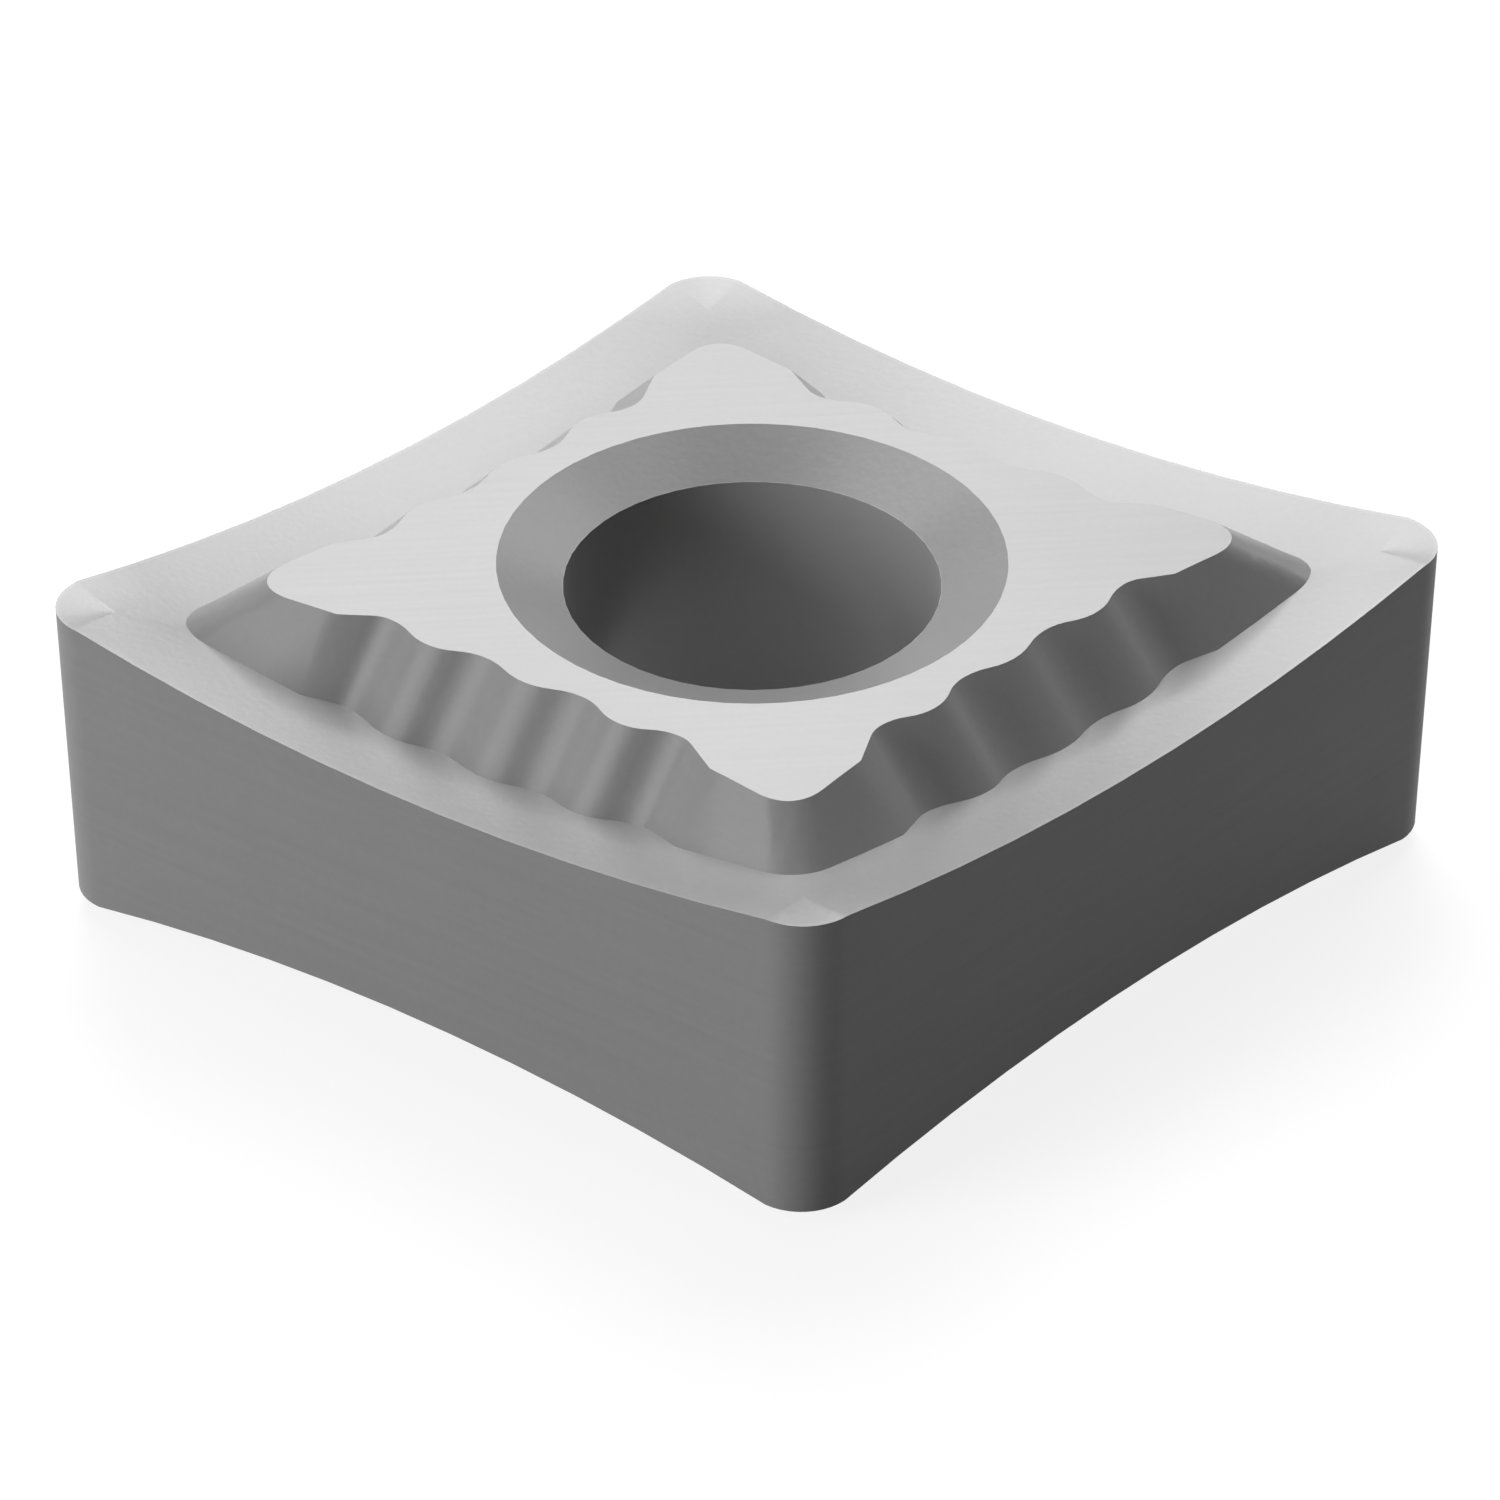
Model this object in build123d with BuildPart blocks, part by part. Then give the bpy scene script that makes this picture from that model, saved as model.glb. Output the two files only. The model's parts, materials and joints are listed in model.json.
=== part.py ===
# Double-sided 80 degree carbide turning insert: a pressed and sintered blank, ground round its flanks.
# The origin is at the middle of the lower seat, +Z is up, and X runs along the long diagonal.
import os
from math import asin, cos, degrees, radians, sin, sqrt, tan

from build123d import *

# Driving dimensions, in millimetres and degrees

# Plan of the insert
inscribed_circle = 12.7
corner_angle = 80
nose_radius = 0.8

# Heights: two cutting corners lie above each other, and each seat stands proud of its corners
corner_height = 4.6
seat_rise = 0.245
edge_sag = 0.518

# Chip groove: the rake falls from the edge to the foot of the island and steepens a little on the way
rake_at_edge = 7.6
rake_at_foot = 11.2
groove_width = 1.205

# Island: the raised seat inside the groove, and how deep it is let into the blank
wall_angle = 45
ridge_radius = 0.8
island_root = 0.25

# Scallops pressed into the four long walls of the island, a little nearer to the blunt corner
scallop_count = 4
scallop_pitch = 1.58
scallop_depth = 0.187
scallop_offset = 0.24
crest_relief = 0.02
end_flank_radius = 0.5
end_flank_angle = 31

# Clamping hole with a wide countersink at both seats
bore_diameter = 5.16
countersink_diameter = 6.96
countersink_angle = 132

# How far tools that cut air reach past the material
clearance = 1.0

# Places worked out from the sizes
half_corner = radians(corner_angle / 2)
outward = Vector(-sin(half_corner), -cos(half_corner), 0)
inward = -outward
along = Vector(cos(half_corner), -sin(half_corner), 0)
inset = inscribed_circle / 2 - nose_radius
acute_centre = Vector(-inset / sin(half_corner), 0, 0)
obtuse_centre = Vector(0, -inset / cos(half_corner), 0)

# The straight run of one side, from the acute nose to the obtuse one
acute_end = acute_centre + outward * nose_radius
obtuse_end = obtuse_centre + outward * nose_radius
side_middle = (acute_end + obtuse_end) * 0.5
side_half = (obtuse_end - acute_end).length / 2
centre_along = -side_middle.dot(along)

# Heights above the lower seat
seat_z = corner_height + 2 * seat_rise
middle_z = seat_z / 2
corner_z = seat_z - seat_rise
low_edge_z = corner_z - edge_sag

# Each cutting edge is an arc that hangs between its corners
sag_radius = (side_half**2 + edge_sag**2) / (2 * edge_sag)
rake_radius = groove_width / (sin(radians(rake_at_foot)) - sin(radians(rake_at_edge)))


def rake_angle(inside):
    """Fall of the rake, in radians, at a distance inside the edge."""
    return asin(sin(radians(rake_at_edge)) + inside / rake_radius)


def rake_drop(inside):
    """Depth of the rake below the edge at a distance inside it."""
    return rake_radius * (cos(radians(rake_at_edge)) - cos(rake_angle(inside)))


def wall_at_seat(place):
    """Distance from the edge to the island's wall, level with the seat, at a place along the side."""
    rise = seat_z - low_edge_z + rake_drop(groove_width)
    edge_lift = sag_radius - sqrt(sag_radius**2 - place**2)
    return groove_width + (rise - edge_lift) / tan(radians(wall_angle))


# Planes of one side: from above at seat height, X along it and Y inward, and its section at mid-length
side_plan = Plane((side_middle.X, side_middle.Y, seat_z), x_dir=along, z_dir=(0, 0, 1))
side_section = Plane((side_middle.X, side_middle.Y, low_edge_z), x_dir=inward, z_dir=along)
sag_axis = Axis(side_section.from_local_coords((0, sag_radius, 0)), inward)

# The upper half is modelled first, from the middle plane up to the seat
middle_plane = Plane.XY.offset(middle_z)
half_height = seat_z - middle_z

# The rake runs on a little under the island, and the island is let into the blank behind it
rake_reach = groove_width + 2 * island_root
island_bottom_z = low_edge_z - rake_drop(rake_reach) - island_root

# Air over one side: its section is turned about the sag axis, then kept to that side's share of the plan
with BuildPart() as side_air:
    with BuildSketch(side_section):
        with BuildLine():
            # The curved rake, then a level bed under the island, then back outside over the edge
            fall = radians(rake_at_edge)
            turn = degrees(rake_angle(rake_reach) - fall)
            rake = JernArc((0, 0), (cos(fall), -sin(fall)), rake_radius, -turn)
            Polyline(
                rake @ 1,
                (inscribed_circle, (rake @ 1).Y),
                (inscribed_circle, clearance),
                (-clearance, clearance),
                (-clearance, clearance * tan(fall)),
                (0, 0),
            )
        make_face()
    revolve(axis=sag_axis)
    with BuildSketch(side_plan):
        with BuildLine():
            Polyline(
                (-side_half, nose_radius),
                (-side_half, -2 * clearance),
                (side_half, -2 * clearance),
                (side_half, nose_radius),
                (centre_along, inscribed_circle / 2),
                close=True,
            )
        make_face()
    extrude(amount=-half_height, mode=Mode.INTERSECT)

# Air over the rake of a nose: the end of a side's air, turned about the nose's centre to the next side
end_faces = side_air.faces().sort_by(Axis(side_middle, along))
with BuildPart() as acute_air:
    revolve(end_faces[0], axis=Axis(acute_centre, (0, 0, -1)), revolution_arc=180 - corner_angle)
with BuildPart() as obtuse_air:
    revolve(end_faces[-1], axis=Axis(obtuse_centre, (0, 0, 1)), revolution_arc=corner_angle)

# Air outside one wall of the island: an arc that follows the sag of the edge, pushed down the wall
slope = radians(wall_angle)
down_the_wall = outward * cos(slope) - Vector(0, 0, sin(slope))
wall_length = (seat_z - island_bottom_z) / sin(slope)
wall_half = side_half + 2 * clearance
wall_end = wall_at_seat(wall_half)
with BuildPart() as wall_air:
    with BuildSketch(side_plan):
        with BuildLine():
            wall = ThreePointArc((-wall_half, wall_end), (0, wall_at_seat(0)), (wall_half, wall_end))
            Polyline(wall @ 1, (wall_half, -clearance), (-wall_half, -clearance), wall @ 0)
        make_face()
    extrude(amount=wall_length, dir=down_the_wall)

# Air in the scallops of one wall: a wave of arcs, its floors in line and its crests just inside the wall
floor_line = wall_at_seat(0) + scallop_depth
floors = [scallop_offset + (i - (scallop_count - 1) / 2) * scallop_pitch for i in range(scallop_count)]
with BuildPart() as scallop_air:
    with BuildSketch(side_plan):
        with BuildLine():
            for left, right in zip(floors, floors[1:]):
                crest_place = (left + right) / 2
                crest = (crest_place, wall_at_seat(crest_place) + crest_relief)
                for floor_place in (left, right):
                    heading = (1 if floor_place < crest_place else -1, 0)
                    turn_point = ((floor_place + crest[0]) / 2, (floor_line + crest[1]) / 2)
                    TangentArc((floor_place, floor_line), turn_point, tangent=heading)
                    TangentArc(crest, turn_point, tangent=(-heading[0], 0))
            # The outer flanks of the end scallops run straight out past the wall
            ends = []
            for place, side in ((floors[0], -1), (floors[-1], 1)):
                bend = JernArc((place, floor_line), (side, 0), end_flank_radius, -side * end_flank_angle)
                run = (bend @ 1).Y - groove_width
                far = bend @ 1 + (bend % 1) * (run / sin(radians(end_flank_angle)))
                Line(bend @ 1, far)
                ends.append(far)
            Line(*ends)
        make_face()
    extrude(amount=wall_length, dir=down_the_wall)


def on_all_sides(tool):
    """One side's tool and its mirror images on the other three."""
    across = tool.mirror(Plane.XZ)
    return [tool, across, tool.mirror(Plane.YZ), across.mirror(Plane.YZ)]


# Sharp corners of the plan, before the noses are rounded
acute_corner = (inscribed_circle / 2 / sin(half_corner), 0)
obtuse_corner = (0, inscribed_circle / 2 / cos(half_corner))
far_corners = [(-acute_corner[0], 0), (0, -obtuse_corner[1])]

# Upper half of the blank, as high as the cutting corners, with the rake cut all round
with BuildPart() as blank:
    with BuildSketch(middle_plane) as outline:
        with BuildLine():
            Polyline(acute_corner, obtuse_corner, *far_corners, close=True)
        make_face()
        fillet(outline.vertices(), radius=nose_radius)
    extrude(amount=corner_z - middle_z)
    for tool in on_all_sides(side_air.part):
        add(tool, mode=Mode.SUBTRACT)
    for tool, across in ((acute_air.part, Plane.YZ), (obtuse_air.part, Plane.XZ)):
        add(tool, mode=Mode.SUBTRACT)
        add(tool.mirror(across), mode=Mode.SUBTRACT)

# Island: four sloping walls, the ridges between them rounded, and then the scallops
with BuildPart() as island:
    with BuildSketch(Plane.XY.offset(island_bottom_z)):
        with BuildLine():
            Polyline(acute_corner, obtuse_corner, *far_corners, close=True)
        make_face()
    extrude(amount=seat_z - island_bottom_z)
    for tool in on_all_sides(wall_air.part):
        add(tool, mode=Mode.SUBTRACT)
    ridges = island.edges().filter_by(GeomType.BSPLINE)
    fillet(ridges, radius=ridge_radius)
    for tool in on_all_sides(scallop_air.part):
        add(tool, mode=Mode.SUBTRACT)

# The insert: blank and island with the clamping hole, and the lower half as their mirror image
with BuildPart() as insert:
    add(blank.part)
    add(island.part)
    with Locations((0, 0, seat_z)):
        CounterSinkHole(
            radius=bore_diameter / 2,
            counter_sink_radius=countersink_diameter / 2,
            depth=half_height,
            counter_sink_angle=countersink_angle,
        )
    mirror(about=middle_plane)

insert.part.label = "insert"
os.makedirs("parts", exist_ok=True)
export_step(insert.part, "parts/insert.step")
print("volume", round(insert.part.volume, 2), "mm3, size", insert.part.bounding_box().size)
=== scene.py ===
# %% [markdown]
# # A carbide turning insert
#
# An indexable insert is the small throw-away cutting tip of a lathe tool. Tungsten carbide powder is pressed
# in a die, sintered until it is dense, and then its seats and flanks are ground. The result is satin grey,
# with a grain and grinding lines that only show close up.
#
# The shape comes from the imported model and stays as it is. This lesson gives it light, a camera and a finish.

# %% Load the frame
import json
from math import cos, radians, sin

import bpy
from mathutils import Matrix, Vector


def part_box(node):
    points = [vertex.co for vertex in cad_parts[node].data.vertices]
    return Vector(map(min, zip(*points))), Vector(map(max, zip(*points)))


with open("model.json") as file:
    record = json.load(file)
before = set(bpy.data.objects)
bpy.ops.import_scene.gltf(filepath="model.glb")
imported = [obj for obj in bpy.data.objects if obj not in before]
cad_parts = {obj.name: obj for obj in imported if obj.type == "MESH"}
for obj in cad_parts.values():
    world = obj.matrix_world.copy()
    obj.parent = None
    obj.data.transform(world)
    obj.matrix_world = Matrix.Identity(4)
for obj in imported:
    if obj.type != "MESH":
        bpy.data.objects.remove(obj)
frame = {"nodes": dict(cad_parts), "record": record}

scene = bpy.context.scene
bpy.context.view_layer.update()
insert = frame["nodes"]["insert"]

# %% [markdown]
# ## Sizes read from the frame
#
# The finish has to know where the cutting edge, the seats, the flanks and the hole are. Typing their places
# in would work until the part changes. The frame already knows them: a flank's mount gives the direction it
# faces and its distance from the axis, the hole's mount gives its radius, and the box gives the height and
# the length, from which the nose radius follows. The countersink's rim is the innermost circle of points on
# the upper seat.

# %% Sizes of the insert
MM = 0.001
low_corner, high_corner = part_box("insert")
mounts = {mount["name"]: mount for mount in frame["record"]["mounts"]}
flank_normal = Vector(mounts["flank_b"]["axis"]).normalized()
inscribed_radius = Vector(mounts["flank_b"]["pos_m"]).dot(flank_normal)
bore_radius = mounts["clamping_hole"]["dims"]["r_mm"] * MM
sharp_reach = inscribed_radius / flank_normal.x
nose_radius = (sharp_reach - high_corner.x) / (1 / flank_normal.x - 1)
height = high_corner.z
centre = Vector((0, 0, height / 2))
seat_points = [v.co for v in insert.data.vertices if v.co.z > height - 0.001 * MM]
rim_radius = min(point.xy.length for point in seat_points)
print(f"inscribed circle {2 * inscribed_radius / MM:.2f} mm, nose radius {nose_radius / MM:.2f} mm")
print(f"hole radius {bore_radius / MM:.2f} mm, countersink radius {rim_radius / MM:.2f} mm")

# %% [markdown]
# ## Camera
#
# The picture was taken from the front, a little to the left, from 35 degrees above. A long lens keeps the far
# edges nearly as large as the near ones. The camera stands back along its line of sight from a point just
# below the insert's middle, which puts the insert slightly above the middle of the frame. The plain view
# transform keeps white white and a grey as grey as it is lit.

# %% Camera
view_azimuth = radians(-5)
view_elevation = radians(35)
camera_distance = 78.17 * MM
aim_right = -0.03 * MM
aim_up = -0.517 * MM
lens = 135.56


def direction(azimuth, elevation):
    """Unit vector to a place round the insert: azimuth 0 is in front, 90 to the right."""
    return Vector((sin(azimuth) * cos(elevation), -cos(azimuth) * cos(elevation), sin(elevation)))


towards_camera = direction(view_azimuth, view_elevation)
facing = (-towards_camera).to_track_quat("-Z", "Y")
camera = bpy.data.objects.new("camera", bpy.data.cameras.new("camera"))
scene.collection.objects.link(camera)
camera.rotation_mode = "QUATERNION"
camera.rotation_quaternion = facing
camera.location = centre + facing @ Vector((aim_right, aim_up, camera_distance))
camera.data.lens = lens
camera.data.sensor_width = 36
camera.data.clip_start = 1 * MM
camera.data.clip_end = 10
scene.camera = camera
scene.view_settings.view_transform = "Standard"
print("camera at", camera.location)

# %% [markdown]
# ## Shader maths
#
# A finish is a sum of masks and noises. Wiring each Math node by hand hides that sum, so one small class
# holds a socket and lets Python's own operators add the nodes: `1 - mask` or `grain * 0.2` reads like the
# formula it is. Every other node comes from one method that takes its type, its settings and its sockets.
# The same class serves the nodes of a modifier.

# %% Shader maths
class Wire:
    """An output socket in a node tree. Arithmetic on wires adds Math nodes."""

    def __init__(self, network, socket):
        self.network = network
        self.socket = socket

    def math(self, operation, *values):
        return self.network.node("ShaderNodeMath", {"operation": operation}, dict(enumerate(values)))

    def __add__(self, other):
        return self.math("ADD", self, other)

    def __sub__(self, other):
        return self.math("SUBTRACT", self, other)

    def __rsub__(self, other):
        return self.math("SUBTRACT", other, self)

    def __mul__(self, other):
        return self.math("MULTIPLY", self, other)

    def __abs__(self):
        return self.math("ABSOLUTE", self)

    __radd__ = __add__
    __rmul__ = __mul__

    def root(self):
        return self.math("SQRT", self)

    def at_least(self, other):
        return self.math("MAXIMUM", self, other)

    def at_most(self, other):
        return self.math("MINIMUM", self, other)

    def rise(self, start, end):
        """0 up to start, 1 from end on, and a smooth step between them."""
        sockets = {"Value": self, "From Min": start, "From Max": end}
        return self.network.node("ShaderNodeMapRange", {"interpolation_type": "SMOOTHSTEP"}, sockets)


class Network:
    """The node tree of a material, a world or a modifier."""

    def __init__(self, tree):
        self.tree = tree
        self.tree.nodes.clear()

    def node(self, kind, settings=None, sockets=None, output=0):
        """Adds a node: its settings first, then values or links for its sockets, by name or number."""
        made = self.tree.nodes.new(kind)
        for name, value in (settings or {}).items():
            setattr(made, name, value)
        for key, value in (sockets or {}).items():
            if isinstance(value, Wire):
                self.tree.links.new(value.socket, made.inputs[key])
            else:
                made.inputs[key].default_value = value
        return Wire(self, made.outputs[output]) if made.outputs else None

    def mix(self, factor, first, second):
        """One colour turning into another as the factor goes from 0 to 1."""
        return self.node("ShaderNodeMix", {"data_type": "RGBA"}, {0: factor, 6: first, 7: second}, output=2)

    def part(self, vector, axis):
        """The X, Y or Z of a vector."""
        return self.node("ShaderNodeSeparateXYZ", None, {0: vector}, output=axis)

    def stretch(self, vector, x, y, z):
        """A vector with each of its parts multiplied."""
        return self.node("ShaderNodeVectorMath", {"operation": "MULTIPLY"}, {0: vector, 1: (x, y, z)})

    def noise(self, vector, detail, roughness=0.5):
        """Noise about zero, roughly from -1 to 1, with one wave to each unit of the vector."""
        sockets = {"Vector": vector, "Scale": 1.0, "Detail": detail, "Roughness": roughness}
        return self.node("ShaderNodeTexNoise", None, sockets) * 4 - 2


def finish_of(owner):
    """The empty network of a material or a world."""
    owner.use_nodes = True
    return Network(owner.node_tree)


def grey(level):
    return (level, level, level, 1)


# %% [markdown]
# ## Clean shading
#
# The die gives the insert crisp creases, such as the cutting edge and the rim of the island, between faces
# that are flat or softly curved. The model's surface is a net of triangles, and its shading has to know which
# of their borders are creases. Neighbours on a curved face meet at up to 14 degrees, the soft ends of the
# scallops bend by 18 to 19 and the real creases by nearly 20 or more, so 19.5 parts them. The net is welded,
# its faces are set to smooth shading, and the creases are split. No point moves, so the shape stays the
# model's own. Blender has no plain modifier that only sets smooth shading, so three nodes make one.

# %% Clean shading
crease_angle = radians(19.5)

soft_tree = bpy.data.node_groups.new("soft_faces", "GeometryNodeTree")
for side in ("INPUT", "OUTPUT"):
    soft_tree.interface.new_socket("Geometry", in_out=side, socket_type="NodeSocketGeometry")
soft_network = Network(soft_tree)
net = soft_network.node("NodeGroupInput")
soft_net = soft_network.node("GeometryNodeSetShadeSmooth", None, {0: net})
soft_network.node("NodeGroupOutput", None, {0: soft_net})

weld = insert.modifiers.new("weld", "WELD")
weld.merge_threshold = 0.0001 * MM
soft_faces = insert.modifiers.new("soft_faces", "NODES")
soft_faces.node_group = soft_tree
creases = insert.modifiers.new("creases", "EDGE_SPLIT")
creases.split_angle = crease_angle
creases.use_edge_sharp = False
shading = insert.modifiers.new("shading", "WEIGHTED_NORMAL")
shading.mode = "CORNER_ANGLE"
shading.keep_sharp = True
print("shading:", [step.name for step in insert.modifiers])

# %% [markdown]
# ## Floor and backdrop
#
# The insert stands on a plain white floor. A floor bright enough to look white would also throw a lot of
# light up onto the flanks, so the floor is a dark grey that only camera, mirror and glass rays see raised to
# white. Its own shading is still in there, and with it the soft shadow under the insert. The backdrop works
# the same way: white to look at, with next to no light of its own.

# %% Floor and backdrop
floor_size = 600 * MM
floor_gap = 0.01 * MM
floor_grey = 0.20
floor_lift = 0.85
sky_strength = 0.02


def seen_directly(network):
    """1 for camera, mirror and glass rays, 0 for the rays that only carry light."""
    camera_ray = network.node("ShaderNodeLightPath", output="Is Camera Ray")
    mirror_ray = network.node("ShaderNodeLightPath", output="Is Glossy Ray")
    glass_ray = network.node("ShaderNodeLightPath", output="Is Transmission Ray")
    return camera_ray.at_least(mirror_ray).at_least(glass_ray)


bpy.ops.mesh.primitive_plane_add(size=floor_size, location=(0, 0, -floor_gap))
floor = bpy.context.object
floor.name = "floor"

floor.data.materials.append(bpy.data.materials.new("plain_floor"))
plain_floor = finish_of(floor.data.materials[0])
lit = plain_floor.node("ShaderNodeBsdfDiffuse", None, {"Color": grey(floor_grey)})
glow = plain_floor.node("ShaderNodeEmission", None, {"Strength": seen_directly(plain_floor) * floor_lift})
raised = plain_floor.node("ShaderNodeAddShader", None, {0: lit, 1: glow})
plain_floor.node("ShaderNodeOutputMaterial", None, {"Surface": raised})

scene.world = bpy.data.worlds.new("studio")
studio = finish_of(scene.world)
sky_level = seen_directly(studio) * (1 - sky_strength) + sky_strength
backdrop = studio.node("ShaderNodeBackground", None, {"Strength": sky_level})
studio.node("ShaderNodeOutputWorld", None, {"Surface": backdrop})
print("floor at", floor.location.z)

# %% [markdown]
# ## Studio light
#
# The top of the insert is bright because it mirrors a broad bank of light from behind and above, the left
# flank gets less and the right flank least, so the three faces read apart. The bank reaches round to both
# sides, which lights the left and right of the countersink a little more than its near side. Each lamp is a
# soft box: a square area light placed by its direction from the insert and turned to face it.

# %% Studio light
lamp_distance = 250 * MM
lamp_size = 120 * MM


def soft_box(name, azimuth, elevation, power):
    """A square area light that faces the insert, placed by its azimuth and elevation in degrees."""
    towards_lamp = direction(radians(azimuth), radians(elevation))
    lamp = bpy.data.objects.new(name, bpy.data.lights.new(name, "AREA"))
    lamp.data.size = lamp_size
    lamp.data.energy = power
    lamp.location = centre + towards_lamp * lamp_distance
    lamp.rotation_mode = "QUATERNION"
    lamp.rotation_quaternion = (-towards_lamp).to_track_quat("-Z", "Y")
    scene.collection.objects.link(lamp)
    return lamp


soft_box("back_right", 140, 38, 0.11)
soft_box("back_low", 180, 40, 0.31)
soft_box("back_high_right", 160, 58, 0.20)
soft_box("back_high_left", 200, 58, 0.18)
soft_box("left_low", -70, 12, 0.43)
soft_box("left_high", -75, 38, 0.11)

# %% [markdown]
# ## Distance inside the outline
#
# The cutting edge is finished otherwise than the faces beside it, so the finish has to know how far inside
# the outline a point lies. Painting such a band by hand would smear over the edges. The distance is worked
# out from the surface point instead, so it follows the shape exactly. The plan is symmetric, so the absolute
# values of x and y fold it into one quarter, and one formula serves all of it: straight along a side and
# round at the noses.

# %% Distance inside the outline
insert.material_slots[0].material = bpy.data.materials.new("carbide_finish")
carbide = finish_of(insert.material_slots[0].material)
point = carbide.node("ShaderNodeTexCoord", output="Object")
x = carbide.part(point, "X")
y = carbide.part(point, "Y")
z = carbide.part(point, "Z")

side_x, side_y = abs(flank_normal.x), abs(flank_normal.y)
inset = inscribed_radius - nose_radius
past_side = abs(x) * side_x + abs(y) * side_y - inset
past_sharp_nose = abs(y) * side_x - (abs(x) - inset / side_x) * side_y
past_blunt_nose = abs(x) * side_y - (abs(y) - inset / side_y) * side_x
outward = past_side.at_least(0)
beside_sharp = past_sharp_nose.at_most(0)
beside_blunt = past_blunt_nose.at_most(0)
reach = (outward * outward + beside_sharp * beside_sharp + beside_blunt * beside_blunt).root()
inside_mm = (nose_radius - reach) * (1 / MM)
print(f"a side faces {side_x:.3f}, {side_y:.3f}, nose centres {inset / MM:.2f} mm in from it")

# %% [markdown]
# ## Where the finish changes
#
# The seats and flanks are ground, the chip groove and the hole are left as pressed, and the cutting edge has
# a fine hone, a rounding that keeps it from chipping. Each zone is a mask, 1 inside it and 0 outside. The
# hole and its countersink are told by their radius, the seats by their height and the hone by the distance
# inside the outline. A flank is what stands upright outside the countersink. Round the hole and at the seats
# a mask fades over a few thousandths of a millimetre, which keeps its border clean. The hone fades slowly.

# %% Zones of the surface
bore_mm = bore_radius / MM
rim_mm = rim_radius / MM
half_height_mm = height / 2 / MM
zone_gap = 0.002
zone_fade = 0.004
flank_margin = 0.1
upright_tilt, sloping_tilt = 0.3, 0.5
hone_start, hone_end = 0.03, 0.07
seat_gap, seat_fade = 0.001, 0.002

radius_mm = (x * x + y * y).root() * (1 / MM)
bore = 1 - radius_mm.rise(bore_mm + zone_gap, bore_mm + zone_gap + zone_fade)
countersink = 1 - radius_mm.rise(rim_mm - zone_gap - zone_fade, rim_mm - zone_gap) - bore

tilt = abs(carbide.part(carbide.node("ShaderNodeTexCoord", output="Normal"), "Z"))
beyond_rim = radius_mm.rise(rim_mm + flank_margin, rim_mm + 2 * flank_margin)
flank = (1 - tilt.rise(upright_tilt, sloping_tilt)) * beyond_rim
hone = (1 - inside_mm.rise(hone_start, hone_end)) * (1 - flank)

from_middle_mm = abs(z - height / 2) * (1 / MM)
seat = from_middle_mm.rise(half_height_mm - seat_gap - seat_fade, half_height_mm - seat_gap)
print(f"zones: hole to {bore_mm:.2f} mm, countersink to {rim_mm:.2f} mm, hone {hone_end} mm wide")

# %% [markdown]
# ## Grain and grinding lines
#
# Sintered carbide is built of grains a few thousandths of a millimetre across. What the eye catches is
# coarser: a fine speckle where the surface was pressed, soft clouds where the polish varies, and the straight
# lines that the wheel leaves. On the flanks these run parallel to the seats, so the noise is stretched far
# along the plan and squeezed in height. On the seats they run straight across.

# %% Grain and grinding lines
grains = 9 / MM
clouds = 0.5 / MM
lines = 8 / MM
strokes = 0.25 / MM


def pattern(along_x, along_y, along_z, detail, roughness=0.5):
    """Noise on the surface point, with so many waves to a metre along each axis."""
    return carbide.noise(carbide.stretch(point, along_x, along_y, along_z), detail, roughness)


grain = pattern(grains, grains, grains, 1.5, 0.6)
cloud = pattern(clouds, clouds, clouds, 1.0)
flank_lines = pattern(strokes, strokes, lines, 1.0)
seat_lines = pattern(strokes, lines, strokes, 1.0)
ground = flank_lines * flank + seat_lines * seat
pressed = 1 - (flank + seat).at_most(1)
print(f"waves to a millimetre: {grains * MM:g} grain, {clouds * MM:g} clouds, {lines * MM:g} grinding lines")

# %% [markdown]
# ## The finish itself
#
# One physically based shader does the rest. The grey is darker than the insert looks from here, because on
# top the gloss of the lamps adds to it. The wall of the hole is painted lighter, a painted lift for the shade
# that falls inside it. The countersink is a touch darker. The hone is a touch lighter, partly for its honed
# finish and partly as a painted highlight of its rounding. Each pattern changes the shade by its share.

# %% Colour of the carbide
carbide_grey = 0.21
# The hole's share lifts its wall: painted light in place of the shade that falls inside the hole.
bore_painted_light, countersink_shade, hone_wear_and_highlight = 0.45, 0.10, 0.10
cloud_shade, grain_shade, line_shade = 0.02, 0.025, 0.03

# The hone's lighter share is partly its honed finish and partly a painted highlight along the cutting edge.
tone_and_painted_light = 1 + bore * bore_painted_light - countersink * countersink_shade + hone * hone_wear_and_highlight
shade = tone_and_painted_light + cloud * cloud_shade + grain * grain_shade + ground * line_shade
colour = carbide.mix(shade * 0.5, grey(0), grey(2 * carbide_grey))
print(f"grey of the carbide {carbide_grey}, {carbide_grey * (1 + bore_painted_light):.2f} in the hole")

# %% [markdown]
# ## Gloss and fine relief
#
# The ground flanks are much more matt than the top. The roughness stays above 0.28 all over, because below
# that the picture's noise filter left bright specks. Grain and lines also tip the surface by a hair through a
# Bump node. Their heights are less than a thousandth of a millimetre, far too fine to be part of the shape.

# %% Carbide finish
top_roughness = 0.31
flank_roughness = 0.58
hone_roughness = 0.30
uneven_polish = 0.012
gloss_level = 0.54
pressed_relief = 0.0005 * MM
fine_relief = 0.0001 * MM
line_relief = 0.0007 * MM

zoned = top_roughness + (flank_roughness - top_roughness) * flank + (hone_roughness - top_roughness) * hone
roughness = zoned + cloud * uneven_polish + grain * uneven_polish
relief = grain * pressed * pressed_relief + grain * fine_relief + ground * line_relief
bump = carbide.node("ShaderNodeBump", None, {"Strength": 1.0, "Distance": 1.0, "Height": relief})
shader = carbide.node("ShaderNodeBsdfPrincipled", None, {
    "Base Color": colour,
    "Roughness": roughness,
    "Specular IOR Level": gloss_level,
    "Normal": bump,
})
carbide.node("ShaderNodeOutputMaterial", None, {"Surface": shader})
print("finish:", len(carbide.tree.nodes), "nodes")
